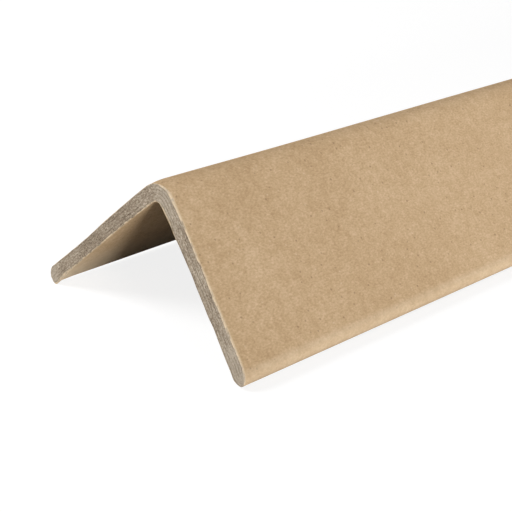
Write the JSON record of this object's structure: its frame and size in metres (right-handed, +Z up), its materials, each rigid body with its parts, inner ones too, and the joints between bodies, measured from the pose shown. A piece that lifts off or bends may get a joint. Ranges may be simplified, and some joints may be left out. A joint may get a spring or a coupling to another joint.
{
  "type": "pallet edge protector",
  "caption": "Right-angle board of laminated paper with a rounded fold and rounded leg edges, laid over the edge of a palletised load so that straps don't cut into it.",
  "frame": {"origin": "under the fold, half way along the board, on the surface that the two leg edges stand on", "axes": "+Y along the fold, away from the leaning end cut; +Z up through the top of the fold; X across the two legs"},
  "size_m": [0.0688, 0.3, 0.0348],
  "materials": {
    "kraft_board": "matte"
  },
  "bodies": {
    "root": {"angle_board": "kraft_board"}
  },
  "joints": []
}
